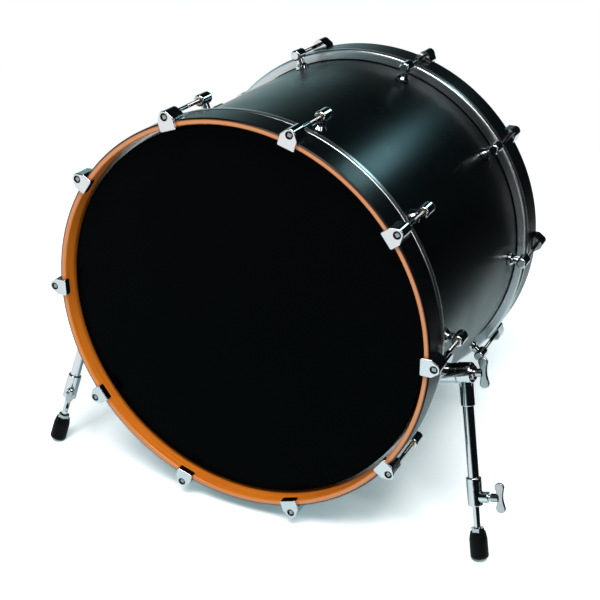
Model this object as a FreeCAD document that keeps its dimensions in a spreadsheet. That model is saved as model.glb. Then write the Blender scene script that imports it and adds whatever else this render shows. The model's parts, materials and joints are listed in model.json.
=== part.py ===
"""Bass drum on two folding spurs, with a drum head, hoop, claws and lugs at each end.

The drum's own frame has its axis along Y, the front head towards -Y, X to the right and Z up, with the
origin at the middle of the shell. One placement then stands the drum on the floor: the spurs lift the
front a little and the two lowest rear claws touch the floor. Lengths are millimetres, angles degrees.
"""
import FreeCAD
import Part
import Sketcher

import math
import os
import re

Vector = FreeCAD.Vector
Placement = FreeCAD.Placement
Rotation = FreeCAD.Rotation

RODS_PER_HEAD = 10
ROD_STEP = 360 / RODS_PER_HEAD
ENDS = {"front": 0, "rear": 180}
SIDES = {"right": 0, "left": 180}

# Driving dimensions: name, value, what it measures
SIZES = [
    ("shell_diameter", "555", "outside of the shell"),
    ("shell_wall", "8", "thickness of the shell"),
    ("shell_depth", "457", "from one bearing edge to the other"),
    ("edge_outer_cut", "2", "bevel outside the crest of the bearing edge"),
    ("edge_crest", "1", "flat crest that the film rests on"),
    ("film_thickness", "0.5", "two-ply film of a head"),
    ("collar_clearance", "0.8", "film's collar to the outside of the shell"),
    ("flesh_clearance", "1.5", "flesh hoop to the outside of the shell"),
    ("flesh_width", "15", "flesh hoop across its section"),
    ("flesh_depth", "13", "flesh hoop along the drum"),
    ("flesh_inner_wall", "2", "flesh hoop's wall inside the film's slot"),
    ("flesh_round", "4", "rounding of the flesh hoop's outer corner"),
    ("slot_depth", "8", "slot that grips the film's edge"),
    ("slot_clearance", "0.15", "film to each wall of its slot"),
    ("hoop_gap", "7", "outside of the shell to the inside of a hoop"),
    ("hoop_wall", "9", "thickness of a hoop"),
    ("hoop_depth", "44", "hoop along the drum"),
    ("hoop_overhang", "19", "hoop beyond the bearing edge"),
    ("hoop_round", "2.5", "rounding of the hoop's outer edge"),
    ("rod_offset", "7.5", "outside of the hoop to a rod's axis"),
    ("rod_diameter", "6", "shank of a tension rod"),
    ("rod_clearance", "0.3", "rod to the holes it passes freely"),
    ("rod_tip", "2", "rod beyond the swivel nut"),
    ("key_square", "6.35", "square head for a drum key"),
    ("key_height", "8", "length of the square head"),
    ("rod_flange_diameter", "9.6", "flange under the square head"),
    ("rod_flange_thickness", "2", "flange under the square head"),
    ("rod_washer_diameter", "10.8", "washer under the flange"),
    ("rod_washer_thickness", "1", "washer under the flange"),
    ("flange_gap", "0.2", "flange to its washer"),
    ("claw_width", "26", "claw across its shoulders"),
    ("claw_shoulder", "3", "shoulders beyond the liner, outwards"),
    ("claw_barrel_diameter", "17", "round tip of a claw, about the rod"),
    ("claw_cover", "5.5", "claw ahead of the hoop's edge"),
    ("claw_skirt", "22", "claw back along the outside of the hoop"),
    ("claw_lip_reach", "5", "lip back along the inside of the hoop"),
    ("claw_lip_wall", "2", "thickness of the lip"),
    ("claw_corner", "2.5", "rounding of the lip's corners"),
    ("claw_round", "1.5", "rounding round the claw's front face"),
    ("claw_liner", "1", "room for the rubber liner"),
    ("liner_inset", "1.5", "liner's edges back from the claw's edges"),
    ("recess_diameter", "11.4", "recess for the rod's head"),
    ("recess_cover", "1", "square head below the mouth of its recess"),
    ("lug_setback", "78", "bearing edge to the middle of a lug"),
    ("lug_barrel_diameter", "17", "lug's barrel"),
    ("lug_barrel_length", "26", "lug's barrel"),
    ("lug_barrel_round", "3", "rounding of the barrel's ends"),
    ("lug_post_diameter", "13", "post between barrel and foot"),
    ("lug_foot_diameter", "20", "foot on the shell"),
    ("lug_foot_thickness", "4", "foot on the shell"),
    ("lug_gasket", "1", "gasket under the foot"),
    ("gasket_margin", "1", "gasket beyond a foot or plate, all round"),
    ("nut_diameter", "10", "swivel nut in the barrel"),
    ("nut_length", "18", "swivel nut in the barrel"),
    ("lug_screw_diameter", "5", "screw that holds a lug"),
    ("lug_screw_grip", "10", "lug screw's length inside the post"),
    ("screw_head_diameter", "9.5", "heads inside the shell"),
    ("screw_head_height", "3", "heads inside the shell"),
    ("lug_washer_diameter", "14", "washer inside the shell"),
    ("lug_washer_thickness", "1", "washer inside the shell"),
    ("screw_clearance", "0.3", "screws to the holes in the shell"),
    ("fit_clearance", "0.05", "threads and running fits, on the radius"),
    ("seat_gap", "0.05", "curved faces that seat on each other"),
    ("spur_setback", "91", "bearing edge to a spur's pivot"),
    ("spur_drop", "13.8", "bracket below the drum's middle, round the shell"),
    ("spur_splay", "13.1", "leg outwards from upright"),
    ("spur_lean", "13.9", "leg forwards from upright"),
    ("spur_gasket", "1.5", "gasket under the bracket"),
    ("spur_standoff", "38.5", "gasket to the leg's axis, along the pivot"),
    ("bracket_length", "54", "bracket's plate along the drum"),
    ("bracket_width", "46", "bracket's plate round the drum"),
    ("bracket_plate", "6", "thickness of the plate"),
    ("bracket_corner", "8", "rounding of the plate's corners"),
    ("bracket_boss_diameter", "28", "boss that carries the pivot"),
    ("bracket_screw_spacing", "40", "between the bracket's two screws"),
    ("bracket_screw_diameter", "5", "screw that holds the bracket"),
    ("bracket_screw_grip", "4", "bracket screw's length inside the plate"),
    ("bracket_flange_diameter", "13", "flanged head inside the shell"),
    ("knuckle_diameter", "30", "leg holder's round knuckle"),
    ("knuckle_width", "22", "knuckle along the pivot"),
    ("knuckle_round", "2", "rounding of the knuckle"),
    ("hinge_gap", "0.2", "knuckle to the faces beside it"),
    ("pivot_diameter", "8", "shank of the pivot bolt"),
    ("pivot_grip", "14", "pivot bolt's length inside the boss"),
    ("pivot_flange_diameter", "20", "flange of the pivot bolt"),
    ("pivot_flange_thickness", "3", "flange of the pivot bolt"),
    ("sleeve_diameter", "20", "leg holder's sleeve"),
    ("sleeve_length", "46.6", "pivot to the end of the sleeve"),
    ("sleeve_socket", "26", "leg tube inside the sleeve"),
    ("tube_diameter", "16", "leg tube"),
    ("tube_wall", "2", "leg tube"),
    ("collar_length", "40.7", "clamp collar"),
    ("collar_diameter", "22", "clamp collar"),
    ("collar_socket", "18", "leg tube inside the collar"),
    ("collar_round", "1.5", "rounding of the collar's ends"),
    ("clamp_drop", "28.5", "top of the collar to the clamp screw"),
    ("clamp_boss_diameter", "16", "boss for the clamp screw"),
    ("clamp_boss_length", "10.5", "boss beyond the collar"),
    ("clamp_screw_diameter", "6", "shank of the clamp screw"),
    ("clamp_screw_show", "3", "clamp screw between its boss and its hub"),
    ("clamp_tip_gap", "0.3", "clamp screw's tip to the inner rod"),
    ("left_clamp_turn", "120", "left clamp collar turned on its leg, from outwards to forwards"),
    ("wing_span", "44", "wing from tip to tip"),
    ("wing_lobe_diameter", "14", "round end of a wing"),
    ("wing_waist", "9", "wing at its middle"),
    ("wing_thickness", "5", "wing's plate"),
    ("wing_round", "1.5", "rounding of the wing's edges"),
    ("wing_hub_diameter", "12", "hub between shank and wing"),
    ("wing_hub_length", "10", "hub between shank and wing"),
    ("wing_centre", "12.5", "start of the hub to the middle of the wing"),
    ("inner_rod_diameter", "10", "rod that slides in the leg tube"),
    ("inner_rod_top", "55", "pivot to the top of the inner rod"),
    ("inner_rod_bevel", "1", "bevel at the top of the inner rod"),
    ("inner_rod_show", "32.5", "inner rod between the clamp collar and the lock nut"),
    ("foot_diameter", "26", "rubber foot"),
    ("foot_neck_diameter", "22", "top of the rubber foot"),
    ("foot_neck", "10", "taper at the top of the rubber foot"),
    ("foot_length", "39", "rubber foot"),
    ("foot_socket", "30", "inner rod inside the foot"),
    ("foot_round", "5", "rounding of the foot's lower edge"),
    ("lock_nut_width", "17", "lock nut across its flats"),
    ("lock_nut_height", "6", "lock nut on the foot"),
    ("stand_tilt", "2.4", "front of the drum lifted"),
    ("stand_shift", "-7.5", "drum's middle sideways from the middle of its outer box"),
]

# Sizes that follow from those above
DERIVED = [
    ("shell_radius", "=shell_diameter / 2", "outside of the shell"),
    ("shell_bore", "=shell_radius - shell_wall", "inside of the shell"),
    ("head_plane", "=shell_depth / 2", "middle of the drum to a bearing edge"),
    ("crest_radius", "=shell_radius - edge_outer_cut", "outer side of the crest"),
    ("edge_inner_cut", "=shell_wall - edge_outer_cut - edge_crest", "bevel inside the crest"),
    ("collar_radius", "=shell_radius + collar_clearance", "film's collar at the bearing edge"),
    ("film_bend", "=edge_outer_cut + collar_clearance", "film's bend, inside"),
    ("film_outer_bend", "=film_bend + film_thickness", "film's bend, outside"),
    ("flesh_bore", "=shell_radius + flesh_clearance", "inside of a flesh hoop"),
    ("slot_radius", "=flesh_bore + flesh_inner_wall + slot_clearance", "film in its slot"),
    ("hoop_edge", "=head_plane + hoop_overhang", "middle of the drum to a hoop's edge"),
    ("hoop_back", "=hoop_edge - hoop_depth", "middle of the drum to a hoop's back"),
    ("hoop_bore", "=shell_radius + hoop_gap", "inside of a hoop"),
    ("hoop_radius", "=hoop_bore + hoop_wall", "outside of a hoop"),
    ("rod_circle", "=hoop_radius + rod_offset", "circle of the rods' axes"),
    ("claw_face", "=hoop_edge + claw_cover", "middle of the drum to a claw's face"),
    ("claw_lip", "=hoop_bore - claw_liner - claw_lip_wall", "inner end of a claw"),
    ("head_seat", "=claw_face - recess_cover - key_height", "rod's flange, front"),
    ("flange_seat", "=head_seat - rod_flange_thickness", "rod's flange, back"),
    ("washer_face", "=flange_seat - flange_gap", "rod's washer, front"),
    ("recess_floor", "=washer_face - rod_washer_thickness", "floor of the recess"),
    ("lug_place", "=head_plane - lug_setback", "middle of the drum to a lug"),
    ("lug_mouth", "=lug_place + lug_barrel_length / 2", "open end of a lug's barrel"),
    ("lug_seat", "=shell_radius + lug_gasket", "underside of a lug's foot"),
    ("rod_end", "=lug_mouth - nut_length - rod_tip", "inner end of a rod"),
    ("lug_washer_face", "=sqrt(shell_bore ^ 2 - (lug_washer_diameter / 2) ^ 2) - seat_gap", "outer face"),
    ("bracket_flange_face", "=sqrt(shell_bore ^ 2 - (bracket_flange_diameter / 2) ^ 2) - seat_gap",
     "flange's outer face"),
    ("spur_place", "=head_plane - spur_setback", "middle of the drum to a spur's pivot"),
    ("spur_seat", "=shell_radius + spur_gasket", "underside of the bracket"),
    ("hinge_rise", "=spur_drop + spur_splay", "pivot's axis from the bracket's own radius"),
    ("boss_length", "=spur_standoff - knuckle_width / 2 - hinge_gap", "gasket to the boss's face"),
    ("pivot_x", "=spur_seat * cos(spur_drop) + spur_standoff * cos(spur_splay)", "beside the drum's axis"),
    ("pivot_z", "=spur_standoff * sin(spur_splay) - spur_seat * sin(spur_drop)", "above the drum's axis"),
    ("wing_reach", "=wing_span / 2 - wing_lobe_diameter / 2", "screw's axis to a lobe's middle"),
    ("wing_hollow", "=(wing_waist ^ 2 / 4 + wing_reach ^ 2 - wing_lobe_diameter ^ 2 / 4)"
                    " / (wing_lobe_diameter - wing_waist)", "radius of a wing's hollow side"),
    ("axis_height", "=(claw_face - claw_round) * sin(stand_tilt) + claw_round + cos(stand_tilt)"
                    f" * (rod_circle * cos({ROD_STEP / 2}) + claw_barrel_diameter / 2 - claw_round)",
     "middle of the drum above the floor, standing on the lowest rear claws"),
    ("pivot_height", "=spur_place * sin(stand_tilt) + pivot_z * cos(stand_tilt) + axis_height",
     "above the floor"),
    ("leg_cosine", "=cos(spur_lean) * cos(spur_splay) * cos(stand_tilt) - sin(spur_lean) * sin(stand_tilt)",
     "leg's slope: its drop for each unit of length"),
    ("foot_height",
     "=foot_round * (1 - leg_cosine) + (foot_diameter / 2 - foot_round) * sqrt(1 - leg_cosine ^ 2)",
     "middle of the foot's end above the floor"),
    ("leg_reach", "=(pivot_height - foot_height) / leg_cosine", "pivot to the foot's end"),
    ("foot_top", "=leg_reach - foot_length", "pivot to the top of the foot"),
    ("inner_rod_end", "=foot_top + foot_socket", "pivot to the lower end of the inner rod"),
    ("collar_end", "=foot_top - lock_nut_height - inner_rod_show", "pivot to the end of the clamp collar"),
    ("collar_start", "=collar_end - collar_length", "pivot to the top of the clamp collar"),
    ("clamp_place", "=collar_start + clamp_drop", "pivot to the clamp screw"),
    ("clamp_face", "=collar_diameter / 2 + clamp_boss_length", "leg's axis to the boss's face"),
]

doc = FreeCAD.newDocument("bass_drum")
sheet = doc.addObject("Spreadsheet::Sheet", "Sizes")
for row, (alias, text, meaning) in enumerate(SIZES + DERIVED, 1):
    sheet.set(f"A{row}", meaning)
    sheet.set(f"B{row}", text)
    sheet.setAlias(f"B{row}", alias)
doc.recompute()
ALIASES = {alias for alias, text, meaning in SIZES + DERIVED}


def size(alias):
    """Value of one size in the sheet."""
    return float(sheet.get(alias))


def bind(item, prop, formula):
    """Tie one property to a formula of the sheet's sizes."""
    def cell(word):
        return f"Sizes.{word.group()}" if word.group() in ALIASES else word.group()
    item.setExpression(prop, re.sub(r"[a-z_]+", cell, formula))


# Places: the standing drum, its two ends and its two spurs

def turn(axis, angle):
    return Placement(Vector(), Rotation(axis, angle))


UP = Vector(0, 0, 1)
ACROSS = Vector(1, 0, 0)
ALONG = Vector(0, 1, 0)
STAND = Placement(Vector(size("stand_shift"), 0, size("axis_height")),
                  Rotation(ACROSS, -size("stand_tilt")))


def end_place(end):
    """Front pieces as drawn; rear pieces half a turn about the upright."""
    return STAND * turn(UP, ENDS[end])


def spur_place(side):
    """Upright through the spurs' pivots; the left side is half a turn about it."""
    return STAND * Placement(Vector(0, -size("spur_place"), 0), Rotation(UP, SIDES[side]))


def bracket_place(side):
    """Drum axis at the spur, with X out through the middle of the bracket."""
    return spur_place(side) * turn(ALONG, size("spur_drop"))


def leg_place(side):
    """Pivot of a leg, with X out along the pivot and -Z down the leg."""
    pivot = Placement(Vector(size("pivot_x"), 0, size("pivot_z")), Rotation(ALONG, -size("spur_splay")))
    forwards = -1 if side == "right" else 1
    return spur_place(side) * pivot * turn(ACROSS, forwards * size("spur_lean"))


def clamp_place(side):
    """Leg's place turned about the leg, with X out along the clamp screw."""
    return leg_place(side) * turn(UP, size("left_clamp_turn") if side == "left" else 0)


# Sketches and features

def new_body(label, place=STAND):
    body = doc.addObject("PartDesign::Body", label)
    body.Label = label
    body.Placement = place
    return body


def origin_feature(body, role):
    return next(item for item in body.Origin.OriginFeatures if item.Role == role)


def new_sketch(body, name, plane, lift="0", across="0", along="0"):
    """Sketch on one of the body's planes, lifted along its normal or moved in it by formulas."""
    sketch = body.newObject("Sketcher::SketchObject", f"{body.Name}_{name}")
    sketch.AttachmentSupport = [(origin_feature(body, plane), "")]
    sketch.MapMode = "FlatFace"
    for direction, formula in (("x", across), ("y", along), ("z", lift)):
        bind(sketch, f"AttachmentOffset.Base.{direction}", formula)
    return sketch


def fix_point(sketch, element, end, x, y, start=(1.0, 1.0)):
    """Hold a point of the sketch at two formulas; start is where it is drawn first."""
    for kind, formula, value in (("DistanceX", x, start[0]), ("DistanceY", y, start[1])):
        number = sketch.addConstraint(Sketcher.Constraint(kind, -1, 1, element, end, value))
        bind(sketch, f"Constraints[{number}]", formula)


def fix_size(sketch, kind, element, value, formula):
    number = sketch.addConstraint(Sketcher.Constraint(kind, element, value))
    bind(sketch, f"Constraints[{number}]", formula)


def add_outline(sketch, corners):
    """Closed outline of straight sides, drawn as an even polygon and pulled to its corners' formulas."""
    count = len(corners)
    even = [Vector(math.cos(k * math.tau / count), math.sin(k * math.tau / count), 0) for k in range(count)]
    for k in range(count):
        sketch.addGeometry(Part.LineSegment(even[k], even[(k + 1) % count]))
    for k in range(count):
        sketch.addConstraint(Sketcher.Constraint("Coincident", k, 2, (k + 1) % count, 1))
    for k, (x, y) in enumerate(corners):
        fix_point(sketch, k, 1, x, y)


def add_box(sketch, x_low, x_high, y_low, y_high):
    add_outline(sketch, [(x_low, y_low), (x_high, y_low), (x_high, y_high), (x_low, y_high)])


def add_circle(sketch, diameter, x="0", y="0"):
    number = sketch.addGeometry(Part.Circle(Vector(), UP, 1))
    fix_point(sketch, number, 3, x, y)
    fix_size(sketch, "Diameter", number, 2, diameter)


def revolve(body, sketch, axis, angle="360", cut=False):
    """Turn a sketch about its own axis, to both sides of its plane; cut takes that away instead."""
    kind = "Groove" if cut else "Revolution"
    turned = body.newObject(f"PartDesign::{kind}", f"{sketch.Name}_turned")
    turned.Profile = sketch
    turned.ReferenceAxis = (sketch, [axis])
    turned.Midplane = True
    bind(turned, "Angle", angle)
    return turned


def extrude(body, sketch, length, cut=False, back=False, both=False):
    """Pad a sketch along its normal, or cut against it; back turns that round."""
    kind = "Pocket" if cut else "Pad"
    solid = body.newObject(f"PartDesign::{kind}", f"{sketch.Name}_{kind.lower()}")
    solid.Profile = sketch
    solid.Reversed = back
    solid.SideType = "Symmetric" if both else "One side"
    bind(solid, "Length", length)
    return solid


def round_edges(body, radius, chosen):
    """Round the edges of the body so far that the test picks out."""
    doc.recompute()
    base = body.Tip
    names = [f"Edge{number}" for number, edge in enumerate(base.Shape.Edges, 1) if chosen(edge)]
    rounding = body.newObject("PartDesign::Fillet", f"{base.Name}_rounded")
    rounding.Base = (base, names)
    bind(rounding, "Radius", radius)


def lies_at(direction, value):
    """Test for edges that lie whole in a plane across x, y or z."""
    def test(edge):
        box = edge.BoundBox
        low, high = (getattr(box, f"{direction.upper()}{end}") for end in ("Min", "Max"))
        return abs(low - value) < 1e-4 and abs(high - value) < 1e-4
    return test


def hollow_under(body, radius, depth, half_length, middle="0", angle="60"):
    """Cut the underside of a seat to the curve of the drum."""
    sketch = new_sketch(body, "underside", "XY_Plane", along=middle)
    add_box(sketch, f"{radius} - ({depth})", radius, f"-({half_length})", half_length)
    revolve(body, sketch, "V_Axis", angle, cut=True)


def whole_shape(body, kind, name):
    """Pattern of everything in the body so far."""
    pattern = body.newObject(f"PartDesign::{kind}", f"{body.Name}_{name}")
    pattern.TransformMode = "Whole shape"
    return pattern


def repeat_round(body):
    """One copy at each rod."""
    ring = whole_shape(body, "PolarPattern", "ring")
    ring.Axis = (origin_feature(body, "Y_Axis"), [""])
    ring.Angle = 360
    ring.Occurrences = RODS_PER_HEAD
    body.Tip = ring


def repeat_at_rear(body):
    both = whole_shape(body, "Mirrored", "both_ends")
    both.MirrorPlane = (origin_feature(body, "XZ_Plane"), [""])
    body.Tip = both


# Shell and heads

def make_shell():
    body = new_body("shell")
    profile = new_sketch(body, "wall", "XY_Plane")
    add_outline(profile, [
        ("shell_bore", "-(head_plane - edge_inner_cut)"),
        ("crest_radius - edge_crest", "-head_plane"),
        ("crest_radius", "-head_plane"),
        ("shell_radius", "-(head_plane - edge_outer_cut)"),
        ("shell_radius", "head_plane - edge_outer_cut"),
        ("crest_radius", "head_plane"),
        ("crest_radius - edge_crest", "head_plane"),
        ("shell_bore", "head_plane - edge_inner_cut"),
    ])
    revolve(body, profile, "V_Axis")
    drill_lug_holes(body)
    for side, toward in (("right", "spur_drop"), ("left", "180 - spur_drop")):
        drill_bracket_holes(body, side, toward)


def drill_lug_holes(body):
    """Holes for the front and rear lug on the right, repeated round the shell."""
    sketch = new_sketch(body, "lug_holes", "YZ_Plane")
    for place in ("-lug_place", "lug_place"):
        add_circle(sketch, "lug_screw_diameter + 2 * screw_clearance", place)
    drilled = extrude(body, sketch, "shell_diameter", cut=True, back=True)
    ring = body.newObject("PartDesign::PolarPattern", "lug_hole_ring")
    ring.Originals = [drilled]
    ring.Axis = (origin_feature(body, "Y_Axis"), [""])
    ring.Angle = 360
    ring.Occurrences = RODS_PER_HEAD
    body.Tip = ring


def drill_bracket_holes(body, side, toward):
    sketch = new_sketch(body, f"{side}_bracket_holes", "YZ_Plane")
    sketch.AttachmentOffset = turn(ACROSS, 1)
    bind(sketch, "AttachmentOffset.Rotation.Angle", toward)
    for way in ("+", "-"):
        add_circle(sketch, "bracket_screw_diameter + 2 * screw_clearance",
                   f"-spur_place {way} bracket_screw_spacing / 2")
    extrude(body, sketch, "shell_diameter", cut=True, back=True)


def make_film(end):
    """Film: a flat disc that bends over the bearing edge into a collar, down into its slot."""
    body = new_body(f"{end}_head_film", end_place(end))
    profile = new_sketch(body, "section", "XY_Plane")
    mouth = "-hoop_back"
    tail = "-(hoop_back - slot_depth + slot_clearance)"
    add_outline(profile, [
        ("0", "-head_plane"),
        ("collar_radius", "-head_plane"),
        ("slot_radius", mouth),
        ("slot_radius", tail),
        ("slot_radius + film_thickness", tail),
        ("slot_radius + film_thickness", mouth),
        ("collar_radius + film_thickness", "-(head_plane + film_thickness)"),
        ("0", "-(head_plane + film_thickness)"),
    ])
    revolve(body, profile, "V_Axis")
    round_edges(body, "film_bend", lies_at("y", -size("head_plane")))
    round_edges(body, "film_outer_bend", lies_at("y", -size("head_plane") - size("film_thickness")))


def make_flesh_hoop(end):
    """Metal ring behind the hoop; the slot in its front grips the film's edge."""
    body = new_body(f"{end}_flesh_hoop", end_place(end))
    profile = new_sketch(body, "section", "XY_Plane")
    face = "-hoop_back"
    back = "-(hoop_back - flesh_depth)"
    slot_floor = "-(hoop_back - slot_depth)"
    add_outline(profile, [
        ("flesh_bore", face),
        ("slot_radius - slot_clearance", face),
        ("slot_radius - slot_clearance", slot_floor),
        ("slot_radius + film_thickness + slot_clearance", slot_floor),
        ("slot_radius + film_thickness + slot_clearance", face),
        ("flesh_bore + flesh_width", face),
        ("flesh_bore + flesh_width", back),
        ("flesh_bore", back),
    ])
    revolve(body, profile, "V_Axis")
    outer = size("flesh_bore") + size("flesh_width")
    round_edges(body, "flesh_round", lambda edge: abs(edge.BoundBox.XMax - outer) < 1e-4
                and edge.BoundBox.YLength < 1e-4)


def make_hoop(end):
    """Bent wooden hoop over the head's edge, rounded at its outer end."""
    body = new_body(f"{end}_hoop", end_place(end))
    profile = new_sketch(body, "section", "XY_Plane")
    add_box(profile, "hoop_bore", "hoop_radius", "-hoop_edge", "-hoop_back")
    revolve(body, profile, "V_Axis")
    round_edges(body, "hoop_round", lies_at("y", -size("hoop_edge")))


# Claws and tension rods

def add_claw_front(sketch):
    """Front of a claw: straight lip and sides, then lines to a round tip about the rod."""
    radius = size("claw_barrel_diameter") / 2
    middle = Vector(size("rod_circle"), 0, 0)
    half = size("claw_width") / 2
    shoulder = size("hoop_radius") + size("claw_liner") + size("claw_shoulder")
    lip = size("claw_lip")
    out = Vector(shoulder, half, 0) - middle
    lean = math.atan2(out.y, out.x) - math.acos(radius / out.Length)
    touch = middle + Vector(math.cos(lean), math.sin(lean), 0) * radius
    below = Vector(touch.x, -touch.y, 0)
    corners = [below, Vector(shoulder, -half, 0), Vector(lip, -half, 0),
               Vector(lip, half, 0), Vector(shoulder, half, 0), touch]
    for start, finish in zip(corners, corners[1:]):
        sketch.addGeometry(Part.LineSegment(start, finish))
    tip = sketch.addGeometry(Part.ArcOfCircle(Part.Circle(middle, UP, radius), -lean, lean))
    for side in range(len(corners) - 2):
        sketch.addConstraint(Sketcher.Constraint("Coincident", side, 2, side + 1, 1))
    sketch.addConstraint(Sketcher.Constraint("Tangent", tip - 1, 2, tip, 2))
    sketch.addConstraint(Sketcher.Constraint("Tangent", 0, 1, tip, 1))
    fix_point(sketch, tip, 3, "rod_circle", "0")
    fix_size(sketch, "Radius", tip, radius, "claw_barrel_diameter / 2")
    fix_point(sketch, 1, 1, "hoop_radius + claw_liner + claw_shoulder", "-claw_width / 2")
    fix_point(sketch, 2, 1, "claw_lip", "-claw_width / 2")
    fix_point(sketch, 3, 1, "claw_lip", "claw_width / 2")
    fix_point(sketch, 4, 1, "hoop_radius + claw_liner + claw_shoulder", "claw_width / 2")


def make_claws(end):
    """Claws that hook over the hoop's edge, each with a recess for its rod's head."""
    body = new_body(f"{end}_claws", end_place(end))
    front = new_sketch(body, "front", "XZ_Plane", lift="claw_face")
    add_claw_front(front)
    extrude(body, front, "claw_cover + claw_skirt", back=True)
    lip = lies_at("x", size("claw_lip"))
    half = size("claw_width") / 2
    round_edges(body, "claw_corner", lambda edge: lip(edge) and edge.BoundBox.ZLength < half)
    round_edges(body, "claw_round", lies_at("y", -size("claw_face")))
    seat = new_sketch(body, "hoop_seat", "XY_Plane")
    add_box(seat, "hoop_bore - claw_liner", "hoop_radius + claw_liner",
            "-(hoop_edge + claw_liner)", "-(hoop_edge - 2 * claw_skirt)")
    revolve(body, seat, "V_Axis", "30", cut=True)
    inside = new_sketch(body, "inside", "XY_Plane")
    add_box(inside, "claw_lip - claw_width", "hoop_bore",
            "-(hoop_edge - claw_lip_reach)", "-(hoop_edge - 2 * claw_skirt)")
    revolve(body, inside, "V_Axis", "30", cut=True)
    recess = new_sketch(body, "recess", "XZ_Plane", lift="claw_face")
    add_circle(recess, "recess_diameter", "rod_circle")
    extrude(body, recess, "claw_face - recess_floor", cut=True)
    passage = new_sketch(body, "rod_hole", "XZ_Plane", lift="claw_face")
    add_circle(passage, "rod_diameter + 2 * rod_clearance", "rod_circle")
    extrude(body, passage, "2 * (claw_cover + claw_skirt)", cut=True)
    repeat_round(body)


def make_claw_liners():
    """Rubber pads between claws and hoops."""
    body = new_body("claw_liners")
    profile = new_sketch(body, "section", "XY_Plane")
    outer_end = "-(hoop_edge - claw_skirt + liner_inset)"
    inner_end = "-(hoop_edge - claw_lip_reach + liner_inset)"
    add_outline(profile, [
        ("hoop_bore - claw_liner + seat_gap", inner_end),
        ("hoop_bore - seat_gap", inner_end),
        ("hoop_bore - seat_gap", "-hoop_edge"),
        ("hoop_radius + seat_gap", "-hoop_edge"),
        ("hoop_radius + seat_gap", outer_end),
        ("hoop_radius + claw_liner - seat_gap", outer_end),
        ("hoop_radius + claw_liner - seat_gap", "-(hoop_edge + claw_liner)"),
        ("hoop_bore - claw_liner + seat_gap", "-(hoop_edge + claw_liner)"),
    ])
    revolve(body, profile, "V_Axis", "(claw_width - 2 * liner_inset) / hoop_radius * 180 / pi")
    repeat_round(body)
    repeat_at_rear(body)


def rod_profile(body):
    """Sketch whose upright axis is a rod's own axis."""
    return new_sketch(body, "section", "XY_Plane", across="rod_circle")


def make_rod_washers():
    body = new_body("rod_washers")
    profile = rod_profile(body)
    add_box(profile, "rod_diameter / 2 + rod_clearance", "rod_washer_diameter / 2",
            "-washer_face", "-recess_floor")
    revolve(body, profile, "V_Axis")
    repeat_round(body)
    repeat_at_rear(body)


def make_tension_rod(end, number):
    """Rod with a square key head, numbered clockwise from the top as seen from its own end."""
    from_right = (number - 0.5) * ROD_STEP - 90
    body = new_body(f"{end}_tension_rod_{number:02d}", end_place(end) * turn(ALONG, from_right))
    profile = rod_profile(body)
    add_outline(profile, [
        ("0", "-rod_end"),
        ("rod_diameter / 4", "-rod_end"),
        ("rod_diameter / 2", "-(rod_end + rod_diameter / 4)"),
        ("rod_diameter / 2", "-flange_seat"),
        ("rod_flange_diameter / 2", "-flange_seat"),
        ("rod_flange_diameter / 2", "-head_seat"),
        ("0", "-head_seat"),
    ])
    revolve(body, profile, "V_Axis")
    head = new_sketch(body, "key_head", "XZ_Plane", lift="head_seat", across="rod_circle")
    add_box(head, "-key_square / 2", "key_square / 2", "-key_square / 2", "key_square / 2")
    extrude(body, head, "key_height")


# Lugs

def make_lugs(end):
    """Lugs: a foot on the shell, a post and a barrel whose open end takes the swivel nut."""
    body = new_body(f"{end}_lugs", end_place(end))
    post = new_sketch(body, "post", "XY_Plane", along="-lug_place")
    add_outline(post, [
        ("lug_seat - lug_foot_thickness", "0"),
        ("lug_seat - lug_foot_thickness", "lug_foot_diameter / 2"),
        ("lug_seat + lug_foot_thickness", "lug_foot_diameter / 2"),
        ("lug_seat + 2 * lug_foot_thickness", "lug_post_diameter / 2"),
        ("rod_circle", "lug_post_diameter / 2"),
        ("rod_circle", "0"),
    ])
    revolve(body, post, "H_Axis")
    barrel = new_sketch(body, "barrel", "XZ_Plane", lift="lug_mouth")
    add_circle(barrel, "lug_barrel_diameter", "rod_circle")
    extrude(body, barrel, "lug_barrel_length", back=True)
    mouth = -size("lug_mouth")
    closed = mouth + size("lug_barrel_length")
    round_edges(body, "lug_barrel_round",
                lambda edge: lies_at("y", mouth)(edge) or lies_at("y", closed)(edge))
    hollow_under(body, "lug_seat", "2 * lug_foot_thickness", "lug_foot_diameter", "-lug_place")
    bore = new_sketch(body, "nut_bore", "XZ_Plane", lift="lug_mouth")
    add_circle(bore, "nut_diameter + 2 * fit_clearance", "rod_circle")
    extrude(body, bore, "nut_length + 2 * rod_tip", cut=True)
    hole = new_sketch(body, "screw_hole", "YZ_Plane", lift="shell_radius")
    add_circle(hole, "lug_screw_diameter + 2 * fit_clearance", "-lug_place")
    extrude(body, hole, "lug_gasket + lug_screw_grip + fit_clearance", cut=True, back=True)
    repeat_round(body)


def make_lug_gaskets():
    body = new_body("lug_gaskets")
    disc = new_sketch(body, "disc", "YZ_Plane", lift="shell_radius - lug_foot_thickness")
    add_circle(disc, "lug_foot_diameter + 2 * gasket_margin", "-lug_place")
    extrude(body, disc, "2 * lug_foot_thickness")
    hollow_under(body, "shell_radius + seat_gap", "2 * lug_foot_thickness", "lug_foot_diameter", "-lug_place")
    above = new_sketch(body, "outside", "XY_Plane", along="-lug_place")
    add_box(above, "lug_seat - seat_gap", "lug_seat + 2 * lug_foot_thickness",
            "-lug_foot_diameter", "lug_foot_diameter")
    revolve(body, above, "V_Axis", "60", cut=True)
    hole = new_sketch(body, "screw_hole", "YZ_Plane")
    add_circle(hole, "lug_screw_diameter + 2 * screw_clearance", "-lug_place")
    extrude(body, hole, "2 * shell_radius", cut=True, back=True)
    repeat_round(body)
    repeat_at_rear(body)


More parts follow.
